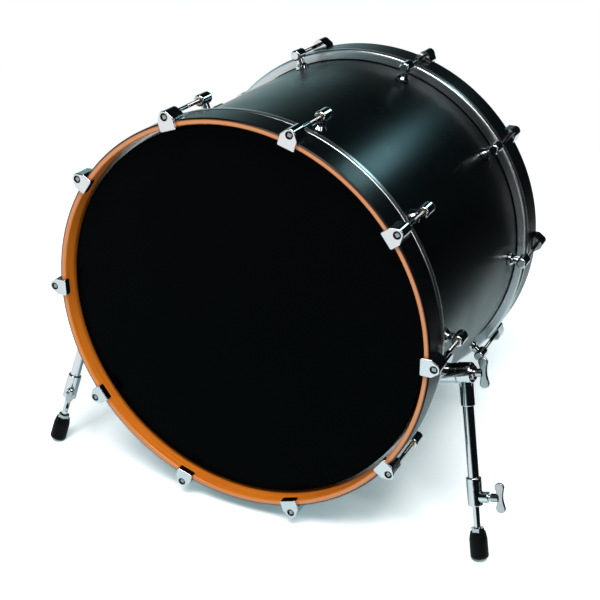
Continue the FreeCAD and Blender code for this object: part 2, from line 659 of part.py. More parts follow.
def make_swivel_nuts():
    body = new_body("swivel_nuts")
    profile = rod_profile(body)
    add_box(profile, "rod_diameter / 2 + fit_clearance", "nut_diameter / 2",
            "-lug_mouth", "-(lug_mouth - nut_length)")
    revolve(body, profile, "V_Axis")
    repeat_round(body)
    repeat_at_rear(body)


def make_lug_screws():
    """Screws from inside the shell, up into the lugs' posts."""
    body = new_body("lug_screws")
    profile = new_sketch(body, "section", "XY_Plane", along="-lug_place")
    seat = "lug_washer_face - lug_washer_thickness"
    add_outline(profile, [
        (f"{seat} - screw_head_height", "0"),
        (f"{seat} - screw_head_height", "screw_head_diameter / 2"),
        (seat, "screw_head_diameter / 2"),
        (seat, "lug_screw_diameter / 2"),
        ("lug_seat + lug_screw_grip", "lug_screw_diameter / 2"),
        ("lug_seat + lug_screw_grip", "0"),
    ])
    revolve(body, profile, "H_Axis")
    repeat_round(body)
    repeat_at_rear(body)


def make_lug_washers():
    body = new_body("lug_washers")
    profile = new_sketch(body, "section", "XY_Plane", along="-lug_place")
    add_box(profile, "lug_washer_face - lug_washer_thickness", "lug_washer_face",
            "lug_screw_diameter / 2 + screw_clearance", "lug_washer_diameter / 2")
    revolve(body, profile, "H_Axis")
    repeat_round(body)
    repeat_at_rear(body)


# Spurs: fixed pieces on the shell

def add_plate(body, inner, outer, length, width):
    """Plate curved round the drum, with rounded corners."""
    profile = new_sketch(body, "plate", "XY_Plane")
    add_box(profile, inner, outer, f"-({length}) / 2", f"({length}) / 2")
    revolve(body, profile, "V_Axis", f"({width}) / spur_seat * 180 / pi")
    round_edges(body, "bracket_corner", lambda edge: edge.Curve.TypeId == "Part::GeomLine"
                and edge.BoundBox.YLength < 1e-4)


def add_bracket_screw_circles(sketch, diameter):
    for way in ("", "-"):
        add_circle(sketch, diameter, f"{way}bracket_screw_spacing / 2")


def boss_sketch(body, name):
    """Sketch on the outer face of the boss, square to the pivot's axis."""
    sketch = new_sketch(body, name, "YZ_Plane")
    sketch.AttachmentOffset = turn(-ACROSS, 1)
    bind(sketch, "AttachmentOffset.Rotation.Angle", "hinge_rise")
    bind(sketch, "AttachmentOffset.Base.y", "boss_length * sin(hinge_rise)")
    bind(sketch, "AttachmentOffset.Base.z", "spur_seat + boss_length * cos(hinge_rise)")
    return sketch


def make_bracket(side):
    """Casting on the shell whose slanted boss takes the pivot bolt."""
    body = new_body(f"{side}_spur_bracket", bracket_place(side))
    add_plate(body, "spur_seat", "spur_seat + bracket_plate", "bracket_length", "bracket_width")
    boss = boss_sketch(body, "boss")
    add_circle(boss, "bracket_boss_diameter")
    extrude(body, boss, "boss_length + bracket_boss_diameter", back=True)
    hollow_under(body, "spur_seat", "2 * bracket_boss_diameter", "bracket_length")
    pivot = boss_sketch(body, "pivot_hole")
    add_circle(pivot, "pivot_diameter + 2 * fit_clearance")
    extrude(body, pivot, "pivot_grip + hinge_gap", cut=True)
    holes = new_sketch(body, "screw_holes", "YZ_Plane", lift="shell_radius")
    add_bracket_screw_circles(holes, "bracket_screw_diameter + 2 * fit_clearance")
    extrude(body, holes, "spur_gasket + bracket_screw_grip + hinge_gap", cut=True, back=True)


def make_spur_gasket(side):
    body = new_body(f"{side}_spur_gasket", bracket_place(side))
    add_plate(body, "shell_radius + seat_gap", "spur_seat - seat_gap",
              "bracket_length + 2 * gasket_margin", "bracket_width + 2 * gasket_margin")
    holes = new_sketch(body, "screw_holes", "YZ_Plane")
    add_bracket_screw_circles(holes, "bracket_screw_diameter + 2 * screw_clearance")
    extrude(body, holes, "2 * shell_radius", cut=True, back=True)


def make_spur_screws(side):
    """Flanged screws from inside the shell, up into the bracket's plate."""
    body = new_body(f"{side}_spur_screws", bracket_place(side))
    shank = new_sketch(body, "shanks", "YZ_Plane", lift="bracket_flange_face")
    add_bracket_screw_circles(shank, "bracket_screw_diameter")
    extrude(body, shank, "spur_seat + bracket_screw_grip - bracket_flange_face")
    head = new_sketch(body, "flanges", "YZ_Plane", lift="bracket_flange_face")
    add_bracket_screw_circles(head, "bracket_flange_diameter")
    extrude(body, head, "screw_head_height", back=True)


# Spurs: legs, drawn about the pivot with -Z down the leg

def make_leg_holder(side):
    """Round knuckle on the pivot, with a sleeve for the leg tube."""
    body = new_body(f"{side}_leg_holder", leg_place(side))
    knuckle = new_sketch(body, "knuckle", "YZ_Plane")
    add_circle(knuckle, "knuckle_diameter")
    extrude(body, knuckle, "knuckle_width", both=True)
    half = size("knuckle_width") / 2
    round_edges(body, "knuckle_round", lambda edge: lies_at("x", half)(edge) or lies_at("x", -half)(edge))
    sleeve = new_sketch(body, "sleeve", "XY_Plane")
    add_circle(sleeve, "sleeve_diameter")
    extrude(body, sleeve, "sleeve_length", back=True)
    round_edges(body, "collar_round", lies_at("z", -size("sleeve_length")))
    socket = new_sketch(body, "socket", "XY_Plane", lift="-sleeve_length")
    add_circle(socket, "tube_diameter + 2 * fit_clearance")
    extrude(body, socket, "sleeve_socket + fit_clearance", cut=True, back=True)
    pivot = new_sketch(body, "pivot_hole", "YZ_Plane")
    add_circle(pivot, "pivot_diameter + 2 * fit_clearance")
    extrude(body, pivot, "2 * knuckle_width", cut=True, both=True)


def make_leg_tube(side):
    body = new_body(f"{side}_leg_tube", leg_place(side))
    profile = new_sketch(body, "section", "XZ_Plane")
    add_box(profile, "tube_diameter / 2 - tube_wall", "tube_diameter / 2",
            "-(collar_start + collar_socket)", "-(sleeve_length - sleeve_socket)")
    revolve(body, profile, "V_Axis")


def make_leg_collar(side):
    """Clamp collar: grips the tube above, guides the inner rod below and takes the clamp screw."""
    body = new_body(f"{side}_leg_collar", clamp_place(side))
    outside = new_sketch(body, "outside", "XY_Plane", lift="-collar_end")
    add_circle(outside, "collar_diameter")
    extrude(body, outside, "collar_length")
    ends = [-size("collar_start"), -size("collar_end")]
    round_edges(body, "collar_round", lambda edge: any(lies_at("z", end)(edge) for end in ends))
    boss = new_sketch(body, "boss", "YZ_Plane")
    add_circle(boss, "clamp_boss_diameter", "0", "-clamp_place")
    extrude(body, boss, "clamp_face")
    round_edges(body, "collar_round", lies_at("x", size("clamp_face")))
    socket = new_sketch(body, "socket", "XY_Plane", lift="-collar_start")
    add_circle(socket, "tube_diameter + 2 * fit_clearance")
    extrude(body, socket, "collar_socket + fit_clearance", cut=True)
    guide = new_sketch(body, "guide", "XY_Plane", lift="-collar_start")
    add_circle(guide, "inner_rod_diameter + 2 * fit_clearance")
    extrude(body, guide, "2 * collar_length", cut=True)
    thread = new_sketch(body, "screw_hole", "YZ_Plane")
    add_circle(thread, "clamp_screw_diameter + 2 * fit_clearance", "0", "-clamp_place")
    extrude(body, thread, "2 * clamp_face", cut=True, back=True)


def add_wing(sketch):
    """Wing outline about the sketch's origin: two round lobes joined by hollow sides, all tangent."""
    lobe, reach, hollow = size("wing_lobe_diameter") / 2, size("wing_reach"), size("wing_hollow")
    away = math.sqrt((hollow + lobe) ** 2 - reach ** 2)
    lean = math.atan2(reach, away)
    arcs = [(0, reach, lobe, -lean, math.pi + lean),
            (-away, 0, hollow, -lean, lean),
            (0, -reach, lobe, math.pi - lean, math.tau + lean),
            (away, 0, hollow, math.pi - lean, math.pi + lean)]
    for x, y, radius, start, finish in arcs:
        sketch.addGeometry(Part.ArcOfCircle(Part.Circle(Vector(x, y, 0), UP, radius), start, finish))
    for first, first_end, second, second_end in ((0, 1, 3, 1), (0, 2, 1, 2), (2, 1, 1, 1), (2, 2, 3, 2)):
        sketch.addConstraint(Sketcher.Constraint("Tangent", first, first_end, second, second_end))
    for lobe_arc, place, start in ((0, "wing_reach", reach), (2, "-wing_reach", -reach)):
        fix_size(sketch, "Radius", lobe_arc, lobe, "wing_lobe_diameter / 2")
        fix_point(sketch, lobe_arc, 3, "0", place, (0, start))
    for hollow_arc in (1, 3):
        fix_size(sketch, "Radius", hollow_arc, hollow, "wing_hollow")


def add_stem(sketch, steps, end):
    """Half section of a stepped stem along X; a step is where it starts and its diameter."""
    starts = [start for start, diameter in steps] + [end]
    corners = [(starts[0], "0")]
    for (start, diameter), finish in zip(steps, starts[1:]):
        corners += [(start, f"{diameter} / 2"), (finish, f"{diameter} / 2")]
    add_outline(sketch, corners + [(end, "0")])


def make_wing_screw(label, place, height, steps):
    """Screw along X with a winged head; its last step is the hub, and the wing stands along Z."""
    body = new_body(label, place)
    hub = steps[-1][0]
    wing = new_sketch(body, "wing", "XZ_Plane", across=f"{hub} + wing_centre", along=height)
    add_wing(wing)
    extrude(body, wing, "wing_thickness", both=True)
    half = size("wing_thickness") / 2
    round_edges(body, "wing_round", lambda edge: lies_at("y", half)(edge) or lies_at("y", -half)(edge))
    profile = new_sketch(body, "section", "XY_Plane", lift=height)
    add_stem(profile, steps, f"{hub} + wing_hub_length")
    revolve(body, profile, "H_Axis")


def make_pivot_bolt(side):
    face = "knuckle_width / 2 + hinge_gap"
    make_wing_screw(f"{side}_pivot_wing_bolt", leg_place(side), "0", [
        (f"-({face} + pivot_grip)", "pivot_diameter"),
        (face, "pivot_flange_diameter"),
        (f"{face} + pivot_flange_thickness", "wing_hub_diameter"),
    ])


def make_clamp_screw(side):
    make_wing_screw(f"{side}_clamp_wing_screw", clamp_place(side), "-clamp_place", [
        ("inner_rod_diameter / 2 + clamp_tip_gap", "clamp_screw_diameter"),
        ("clamp_face + clamp_screw_show", "wing_hub_diameter"),
    ])


def make_inner_rod(side):
    body = new_body(f"{side}_leg_rod", leg_place(side))
    profile = new_sketch(body, "section", "XZ_Plane")
    add_outline(profile, [
        ("0", "-inner_rod_top"),
        ("inner_rod_diameter / 2 - inner_rod_bevel", "-inner_rod_top"),
        ("inner_rod_diameter / 2", "-(inner_rod_top + inner_rod_bevel)"),
        ("inner_rod_diameter / 2", "-inner_rod_end"),
        ("0", "-inner_rod_end"),
    ])
    revolve(body, profile, "V_Axis")


def make_lock_nut(side):
    body = new_body(f"{side}_lock_nut", leg_place(side))
    profile = new_sketch(body, "hexagon", "XY_Plane", lift="-foot_top")
    across_corners = "lock_nut_width / 2 / cos(30)"
    add_outline(profile, [(f"{across_corners} * cos({60 * k})", f"{across_corners} * sin({60 * k})")
                          for k in range(6)])
    extrude(body, profile, "lock_nut_height")
    hole = new_sketch(body, "thread", "XY_Plane")
    add_circle(hole, "inner_rod_diameter + 2 * fit_clearance")
    extrude(body, hole, "2 * leg_reach", cut=True)


def make_foot(side):
    """Rubber foot with a tapered neck, a socket for the rod and a rounded lower edge."""
    body = new_body(f"{side}_foot", leg_place(side))
    profile = new_sketch(body, "section", "XZ_Plane")
    add_outline(profile, [
        ("inner_rod_diameter / 2 + seat_gap", "-foot_top"),
        ("foot_neck_diameter / 2", "-foot_top"),
        ("foot_diameter / 2", "-(foot_top + foot_neck)"),
        ("foot_diameter / 2", "-leg_reach"),
        ("0", "-leg_reach"),
        ("0", "-(inner_rod_end + seat_gap)"),
        ("inner_rod_diameter / 2 + seat_gap", "-(inner_rod_end + seat_gap)"),
    ])
    revolve(body, profile, "V_Axis")
    round_edges(body, "foot_round", lies_at("z", -size("leg_reach")))


# The whole drum

def make_drum():
    make_shell()
    for end in ENDS:
        for make in (make_film, make_flesh_hoop, make_hoop, make_claws, make_lugs):
            make(end)
        for number in range(1, RODS_PER_HEAD + 1):
            make_tension_rod(end, number)
    for make in (make_claw_liners, make_rod_washers, make_lug_gaskets, make_swivel_nuts, make_lug_screws,
                 make_lug_washers):
        make()
    for side in SIDES:
        for make in (make_bracket, make_spur_gasket, make_spur_screws, make_leg_holder, make_pivot_bolt,
                     make_leg_tube, make_leg_collar, make_clamp_screw, make_inner_rod, make_lock_nut,
                     make_foot):
            make(side)


def check_features():
    """Stop if a feature failed, or if a cut took nothing away."""
    for item in doc.Objects:
        if {"Invalid", "Error"} & set(item.State):
            raise RuntimeError(f"{item.Name} failed: {item.State}")
        if item.TypeId in ("PartDesign::Pocket", "PartDesign::Groove"):
            if item.Shape.Volume > item.BaseFeature.Shape.Volume - 1e-3:
                raise RuntimeError(f"{item.Name} cuts nothing")


def write_parts():
    bodies = [item for item in doc.Objects if item.TypeId == "PartDesign::Body"]
    for body in bodies:
        if body.Shape.isNull() or not body.Shape.isValid():
            raise RuntimeError(f"{body.Label} has no valid shape")
    os.makedirs("parts", exist_ok=True)
    for body in bodies:
        body.Shape.exportStep(f"parts/{body.Label}.step")
        print(f"{body.Label}: {len(body.Shape.Solids)} solids, {body.Shape.Volume:.0f} mm3")


make_drum()
doc.recompute()
check_features()
write_parts()
print(f"axis {size('axis_height'):.2f} above the floor, leg {size('leg_reach'):.2f} long")
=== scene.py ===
"""Looks of the bass drum: turned shell, heads and hoops, threaded rods, and a finish for every piece.

Sizes are millimetres, as in the part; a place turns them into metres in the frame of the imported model.
The drum's own frame has its axis along Y, the front head towards -Y, X to the right and Z up. Sizes along
the axis are counted from the drum's middle plane.
"""
import json
import math

import bmesh
import bpy
import numpy as np
from mathutils import Matrix, Vector


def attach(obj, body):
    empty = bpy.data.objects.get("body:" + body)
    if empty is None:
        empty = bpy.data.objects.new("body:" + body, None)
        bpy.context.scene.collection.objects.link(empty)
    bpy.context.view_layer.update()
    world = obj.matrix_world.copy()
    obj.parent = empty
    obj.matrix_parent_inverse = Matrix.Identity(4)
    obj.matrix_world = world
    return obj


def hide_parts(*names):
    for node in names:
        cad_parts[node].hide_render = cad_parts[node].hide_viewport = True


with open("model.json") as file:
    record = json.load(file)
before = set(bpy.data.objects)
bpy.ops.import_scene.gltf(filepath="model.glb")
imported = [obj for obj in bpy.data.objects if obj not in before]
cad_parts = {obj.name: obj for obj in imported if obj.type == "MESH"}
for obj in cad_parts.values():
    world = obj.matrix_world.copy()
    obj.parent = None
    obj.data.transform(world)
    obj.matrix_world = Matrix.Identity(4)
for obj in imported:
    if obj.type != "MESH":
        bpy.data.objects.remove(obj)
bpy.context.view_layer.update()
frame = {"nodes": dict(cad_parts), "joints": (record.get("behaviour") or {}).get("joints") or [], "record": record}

MM = 0.001
RODS_PER_HEAD = 10
ENDS = ("front", "rear")

# Fineness of the meshes
WIDE_SEGMENTS = 480
RING_SEGMENTS = 360
ROD_SEGMENTS = 32
ARC_STEPS = 6
HOOP_ARC_STEPS = 10
FLAT_HOLD = 0.2
MERGE_METRES = 1e-7
SHARP_DEGREES = 40

# Shell
SHELL_RADIUS = 277.5
SHELL_WALL = 8
HEAD_PLANE = 228.5
EDGE_BEVEL = 2
EDGE_CREST = 1
BEVEL_EASE = 0.5
CREST_EASE = 0.3

# Heads
FILM_THICKNESS = 0.5
COLLAR_RADIUS = 278.3
COLLAR_BEND = 3.3
SLOT_RADIUS = 281.15
SLOT_DEPTH = 8
SLOT_GAP = 0.15
FLESH_BORE = 279
FLESH_WIDTH = 15
FLESH_DEPTH = 13
FLESH_ROUND = 4
FLESH_EASE = 0.3

# Hoops
HOOP_EDGE = 247.5
HOOP_BACK = 203.5
HOOP_BORE = 284.5
HOOP_RADIUS = 293.5
HOOP_ROUND = 2.5
HOOP_BACK_EASE = 0.6

# Stain, paint and painted light of the hoops: where each fade begins and ends, by radius or along the axis
PAINT_LINE = 291.6
PAINT_BLUR = 0.08
PAINT_WAVER = 0.12
BACK_PAINT = (HOOP_BACK + 1.1, HOOP_BACK + 1.3)
# Painted shade on the edge's outer rounding, beside the paint line
PAINTED_SHADE_BY_PAINT = (PAINT_LINE - 2, PAINT_LINE - 0.5)
# Painted highlight along the front edge: radii where it rises and falls, and the depth where it begins
PAINTED_HIGHLIGHT_INNER = (285.8, 287.2)
PAINTED_HIGHLIGHT_OUTER = (289.2, 290.6)
PAINTED_HIGHLIGHT_DEPTH = (HOOP_EDGE - 2, HOOP_EDGE - 0.5)
PLY_THICKNESS = 1.5
PLY_LINE = 0.12

# Tension rods
JOINT_REACH = 200
ROD_END = 143.5
ROD_RADIUS = 3
ROD_TIP_RADIUS = 1.6
ROD_TIP_LENGTH = 1.5
THREAD_PITCH = 1.0
THREAD_DEPTH = 0.45
THREAD_LENGTH = 54
THREAD_FADE = 3
ROWS_PER_TURN = 6
FLANGE_SEAT = 242
FLANGE_RADIUS = 4.8
FLANGE_BACK_EASE = 0.3
FLANGE_FRONT_EASE = 0.5
HEAD_SEAT = 244
KEY_HALF = 3.175
KEY_FOOT_EASE = 0.3
KEY_TOP = 252

# Cross-sections of a rod, as powers of its norm, and the rows of the key's crown: below the top, in from the
# side, power
ROUND = 2
SQUARE = 12
KEY_CROWN = ((0.8, 0, SQUARE), (0.2, 0.3, 10), (0, 0.9, 6))


# Places

def place_from(origin, across, along):
    """Place whose X and Y axes are given, as a matrix from millimetres there to metres in the frame."""
    place = np.eye(4)
    place[:3, 0] = across * MM
    place[:3, 1] = along * MM
    place[:3, 2] = np.cross(across, along) * MM
    place[:3, 3] = origin
    return place


def put(place, points):
    """Points of a place, in metres in the frame."""
    return points @ place[:3, :3].T + place[:3, 3]


mounts = {mount["name"]: np.array(mount["pos_m"]) for mount in frame["record"]["mounts"]}
joints = {joint["name"]: joint for joint in frame["joints"]}
ACROSS = np.array([1.0, 0.0, 0.0])
ALONG = mounts["rear_head_face"] - mounts["front_head_face"]
ALONG /= np.linalg.norm(ALONG)
MIDDLE = (mounts["front_head_face"] + mounts["rear_head_face"]) / 2
DRUM = place_from(MIDDLE, ACROSS, ALONG)
END_PLACES = {"front": place_from(MIDDLE, -ACROSS, -ALONG), "rear": DRUM}


def rod_place(rod):
    """Place of one rod: Y out along its axis from the drum's middle plane, X away from the drum's axis."""
    joint = joints[f"{rod}_turn"]
    out = np.array(joint["axis"])
    foot = np.array(joint["pos_m"]) - out * JOINT_REACH * MM
    away = foot - MIDDLE
    away -= out * (away @ out)
    return place_from(foot, away / np.linalg.norm(away), out)


# Meshes

def put_mesh(name, points, faces, corner_uv, section=None):
    """Mesh object from points in metres, faces as rows of indices and a UV pair for each face corner.

    Points that coincide at a pole or seam are merged, and the faces of the closed surface turned outwards.
    """
    mesh = bpy.data.meshes.new(name)
    mesh.from_pydata(points, [], faces)
    mesh.uv_layers.new(name="surface").data.foreach_set("uv", corner_uv.ravel())
    if section is not None:
        mesh.attributes.new("section", "FLOAT_VECTOR", "POINT").data.foreach_set("vector", section.ravel())
    shaper = bmesh.new()
    shaper.from_mesh(mesh)
    bmesh.ops.remove_doubles(shaper, verts=shaper.verts, dist=MERGE_METRES)
    bmesh.ops.recalc_face_normals(shaper, faces=shaper.faces)
    shaper.to_mesh(mesh)
    shaper.free()
    mesh.shade_smooth()
    mesh.set_sharp_from_angle(angle=math.radians(SHARP_DEGREES))
    piece = bpy.data.objects.new(name, mesh)
    bpy.context.scene.collection.objects.link(piece)
    return piece


def grid_faces(rows, columns, rows_close, columns_close):
    """Quads between neighbours of a grid; a way that closes joins its last line to its first.

    Returns the faces, and the row and column of each face corner without the wrap, for its UV.
    """
    row, column = np.meshgrid(np.arange(rows - 1 + rows_close), np.arange(columns - 1 + columns_close),
                              indexing="ij")
    corner_row = np.stack([row, row + 1, row + 1, row], -1).reshape(-1, 4)
    corner_column = np.stack([column, column, column + 1, column + 1], -1).reshape(-1, 4)
    faces = (corner_row % rows) * columns + corner_column % columns
    return faces, corner_row, corner_column


def corner_arc(before, corner, after, rounding, steps):
    """Arc that rounds a corner, tangent to its two sides, with a point on each side that keeps it flat.

    The arc's points are its centre plus a blend of the arms to its two ends: the sine of the angle still to
    go times the first arm plus the sine of the angle gone times the last, over the sine of the whole.
    """
    back = (before - corner) / np.linalg.norm(before - corner)
    on = (after - corner) / np.linalg.norm(after - corner)
    half = math.acos(np.clip(back @ on, -1, 1)) / 2
    reach = rounding / math.tan(half)
    centre = corner + (back + on) / np.linalg.norm(back + on) * rounding / math.sin(half)
    first = corner + back * reach - centre
    last = corner + on * reach - centre
    sweep = math.pi - 2 * half
    gone = np.linspace(0, sweep, steps)[:, None]
    arc = (np.sin(sweep - gone) * first + np.sin(gone) * last) / math.sin(sweep)
    hold = rounding * FLAT_HOLD
    return np.vstack([centre + first + back * hold, centre + arc, centre + last + on * hold])


def rounded_section(corners, steps=ARC_STEPS):
    """Closed outline through corners (x, y, rounding); a corner of rounding 0 stays one point."""
    rows = np.array(corners, float)
    places, roundings = rows[:, :2], rows[:, 2]
    corner_rows = zip(np.roll(places, 1, 0), places, np.roll(places, -1, 0), roundings)
    return np.vstack([corner_arc(before, corner, after, rounding, steps) if rounding else corner
                      for before, corner, after, rounding in corner_rows])


def turned(name, section, place, segments):
    """Section of (radius, y) points turned about the place's Y axis.

    At each angle x is the radius times its sine and z the radius times its cosine. UV is metres round the
    widest radius and metres along the section; the attribute named section holds the radius, y and angle of
    each point.
    """
    turn = np.linspace(0, math.tau, segments, endpoint=False)
    angle, radius = np.meshgrid(turn, section[:, 0], indexing="ij")
    along = np.broadcast_to(section[:, 1], radius.shape)
    points = np.stack([radius * np.sin(angle), along, radius * np.cos(angle)], -1)
    faces, turn_corner, section_corner = grid_faces(*radius.shape, True, True)
    lengths = np.linalg.norm(np.roll(section, -1, 0) - section, axis=1)
    path = np.concatenate([[0], np.cumsum(lengths)]) * MM
    segment_length = section[:, 0].max() * MM * math.tau / segments
    corner_uv = np.stack([turn_corner * segment_length, path[section_corner]], -1)
    return put_mesh(name, put(place, points.reshape(-1, 3)), faces, corner_uv,
                    np.stack([radius, along, angle], -1))


# Turned pieces

def make_shell():
    """Shell: a tube whose ends are bevelled to a narrow crest on both sides."""
    inner_bevel = SHELL_WALL - EDGE_BEVEL - EDGE_CREST
    bore = SHELL_RADIUS - SHELL_WALL
    crest = SHELL_RADIUS - EDGE_BEVEL
    end = [(bore, HEAD_PLANE - inner_bevel, BEVEL_EASE), (crest - EDGE_CREST, HEAD_PLANE, CREST_EASE),
           (crest, HEAD_PLANE, CREST_EASE), (SHELL_RADIUS, HEAD_PLANE - EDGE_BEVEL, BEVEL_EASE)]
    other_end = [(radius, -along, rounding) for radius, along, rounding in reversed(end)]
    return turned("shell_wrap", rounded_section(end + other_end), DRUM, WIDE_SEGMENTS)


def make_film(end):
    """Film: a flat disc, bent over the bearing edge into a collar that widens down to its slot."""
    face = HEAD_PLANE + FILM_THICKNESS
    tail = HOOP_BACK - SLOT_DEPTH + SLOT_GAP
    section = rounded_section([
        (0, HEAD_PLANE, 0), (COLLAR_RADIUS, HEAD_PLANE, COLLAR_BEND - FILM_THICKNESS),
        (SLOT_RADIUS, HOOP_BACK, 0), (SLOT_RADIUS, tail, 0),
        (SLOT_RADIUS + FILM_THICKNESS, tail, 0), (SLOT_RADIUS + FILM_THICKNESS, HOOP_BACK, 0),
        (COLLAR_RADIUS + FILM_THICKNESS, face, COLLAR_BEND), (0, face, 0)])
    return turned(f"{end}_film", section, END_PLACES[end], WIDE_SEGMENTS)


def make_flesh_hoop(end):
    """Flesh hoop: a ring behind the hoop, with rounded outer corners."""
    outer = FLESH_BORE + FLESH_WIDTH
    back = HOOP_BACK - FLESH_DEPTH
    section = rounded_section([
        (FLESH_BORE, HOOP_BACK, FLESH_EASE), (FLESH_BORE, back, FLESH_EASE),
        (outer, back, FLESH_ROUND), (outer, HOOP_BACK, FLESH_ROUND)])
    return turned(f"{end}_flesh_ring", section, END_PLACES[end], RING_SEGMENTS)


def make_hoop(end):
    """Hoop: a bent strip of wood with a rounded outer end."""
    section = rounded_section([
        (HOOP_BORE, HOOP_EDGE, HOOP_ROUND), (HOOP_BORE, HOOP_BACK, HOOP_BACK_EASE),
        (HOOP_RADIUS, HOOP_BACK, HOOP_BACK_EASE), (HOOP_RADIUS, HOOP_EDGE, HOOP_ROUND)], HOOP_ARC_STEPS)
    return turned(f"{end}_wood_hoop", section, END_PLACES[end], WIDE_SEGMENTS)


# Tension rods

def rod_stations():
    """Rows of a rod's surface from its tip to its key: place along it, radius, power of its cross-section."""
    thread = np.arange(ROD_END + ROD_TIP_LENGTH, ROD_END + THREAD_LENGTH, THREAD_PITCH / ROWS_PER_TURN)
    tip = [(ROD_END, 0, ROUND), (ROD_END, ROD_TIP_RADIUS, ROUND)]
    shank = np.stack([thread, np.full_like(thread, ROD_RADIUS), np.full_like(thread, ROUND)], -1)
    flange = [(FLANGE_SEAT - FLANGE_BACK_EASE, ROD_RADIUS, ROUND), (FLANGE_SEAT, ROD_RADIUS, ROUND),
              (FLANGE_SEAT, FLANGE_RADIUS - FLANGE_BACK_EASE, ROUND),
              (FLANGE_SEAT + FLANGE_BACK_EASE, FLANGE_RADIUS, ROUND),
              (HEAD_SEAT - FLANGE_FRONT_EASE, FLANGE_RADIUS, ROUND),
              (HEAD_SEAT, FLANGE_RADIUS - FLANGE_FRONT_EASE, ROUND)]
    key = [(HEAD_SEAT, KEY_HALF + KEY_FOOT_EASE, SQUARE), (HEAD_SEAT + KEY_FOOT_EASE, KEY_HALF, SQUARE)]
    crown = [(KEY_TOP - below, KEY_HALF - inward, power) for below, inward, power in KEY_CROWN]
    return np.vstack([tip, shank, flange, key, crown, (KEY_TOP, 0, ROUND)])


def make_rod(rod):
    """Tension rod: one surface round the rod's axis whose radius goes with angle and place along it.

    The shank and flange are round and the key head is a square with blunt corners: the station's radius over
    the norm of cosine and sine of the angle, with the station's power. A triangle wave of angle plus length
    over pitch cuts the thread into the lower shank, fading out at both its ends.
    """
    along, radius, power = (column[:, None] for column in rod_stations().T)
    angle = np.linspace(0, math.tau, ROD_SEGMENTS, endpoint=False)[None, :]
    norm = (np.abs(np.cos(angle)) ** power + np.abs(np.sin(angle)) ** power) ** (1 / power)
    phase = (angle / math.tau + along / THREAD_PITCH) % 1
    to_ends = np.minimum(along - ROD_END, ROD_END + THREAD_LENGTH - along)
    groove = THREAD_DEPTH * np.abs(2 * phase - 1) * np.clip(to_ends / THREAD_FADE, 0, 1)
    surface = radius / norm - groove
    points = np.stack([surface * np.cos(angle), np.broadcast_to(along, surface.shape),
                       surface * np.sin(angle)], -1)
    faces, row, column = grid_faces(*surface.shape, False, True)
    segment_length = ROD_RADIUS * MM * math.tau / ROD_SEGMENTS
    corner_uv = np.stack([column * segment_length, along[row, 0] * MM], -1)
    return put_mesh(f"{rod}_threaded", put(rod_place(rod), points.reshape(-1, 3)), faces, corner_uv)


# Nodes of the finishes

# A noise lies mostly within this range
NOISE_RANGE = (0.3, 0.7)

# Sockets for colours among the many of a Mix node
MIX_SHARE = 0
MIX_FIRST = 6
MIX_SECOND = 7
MIX_RESULT = 2


def new_finish(name):
    """New node material, its tree and its Principled shader."""
    finish = bpy.data.materials.new(name)
    finish.use_nodes = True
    return finish, finish.node_tree, finish.node_tree.nodes["Principled BSDF"]


def feed(tree, socket, value):
    """Give a socket its value, or link it where the value is another node's output."""
    if isinstance(value, bpy.types.NodeSocket):
        tree.links.new(value, socket)
    else:
        socket.default_value = value


def add_node(tree, kind, inputs=None, **settings):
    """One node, with its settings and what its inputs are fed, by their names or numbers."""
    made = tree.nodes.new(f"ShaderNode{kind}")
    for name, value in settings.items():
        setattr(made, name, value)
    for name, value in (inputs or {}).items():
        feed(tree, made.inputs[name], value)
    return made


def set_shader(tree, shader, **inputs):
    """Feed the shader's own sockets, with underscores for the spaces in their names."""
    for name, value in inputs.items():
        feed(tree, shader.inputs[name.replace("_", " ")], value)


def object_place(tree):
    """Object coordinates."""
    return add_node(tree, "TexCoord").outputs["Object"]


def surface_place(tree, stretch):
    """The piece's own UV in metres, stretched."""
    where = add_node(tree, "UVMap", uv_map="surface").outputs["UV"]
    return add_node(tree, "Mapping", {"Vector": where, "Scale": stretch}).outputs["Vector"]


def noise(tree, where, scale, detail=3.0, roughness=0.5):
    """Soft random pattern from 0 to 1; its scale is about the spots to a metre of the place given."""
    inputs = {"Vector": where, "Scale": scale, "Detail": detail, "Roughness": roughness}
    return add_node(tree, "TexNoise", inputs).outputs["Fac"]


def spread(tree, value, low, high, to_low, to_high):
    """Value carried from one range to another, held at its ends."""
    inputs = {"Value": value, "From Min": low, "From Max": high, "To Min": to_low, "To Max": to_high}
    return add_node(tree, "MapRange", inputs).outputs["Result"]


def follow(tree, pattern, low, high):
    """Value that goes from low to high with a noise."""
    return spread(tree, pattern, *NOISE_RANGE, low, high)


def combine(tree, operation, first, second):
    """Two values made one by a Math node's operation."""
    return add_node(tree, "Math", {0: first, 1: second}, operation=operation).outputs["Value"]


def opaque(colour):
    """Colour with its alpha, or a node's output as it is."""
    return colour if isinstance(colour, bpy.types.NodeSocket) else (*colour, 1)


def blend_colours(tree, share, first, second):
    """Colour between two others."""
    inputs = {MIX_SHARE: share, MIX_FIRST: opaque(first), MIX_SECOND: opaque(second)}
    return add_node(tree, "Mix", inputs, data_type="RGBA").outputs[MIX_RESULT]


def bump(tree, height, depth):
    """Bump of a height that runs from 0 to 1, as deep as given in metres."""
    return add_node(tree, "Bump", {"Height": height, "Distance": depth, "Strength": 1.0}).outputs["Normal"]


# Finishes

CHROME_DULL = (0.70, 0.72, 0.74)
CHROME_CLEAR = (0.80, 0.81, 0.83)


def black_lacquer():
    """Satin black lacquer with a cool gloss, faint clouding and orange peel."""
    finish, tree, shader = new_finish("black_lacquer")
    clouds = noise(tree, object_place(tree), 9.0)
    peel = noise(tree, object_place(tree), 420.0, 1.0)
    set_shader(tree, shader,
               Base_Color=blend_colours(tree, clouds, (0.0006, 0.001, 0.0012), (0.0012, 0.0018, 0.002)),
               Roughness=follow(tree, clouds, 0.26, 0.32), Specular_IOR_Level=0.36,
               Specular_Tint=(0.55, 0.9, 1, 1), Normal=bump(tree, peel, 0.00002))
    return finish


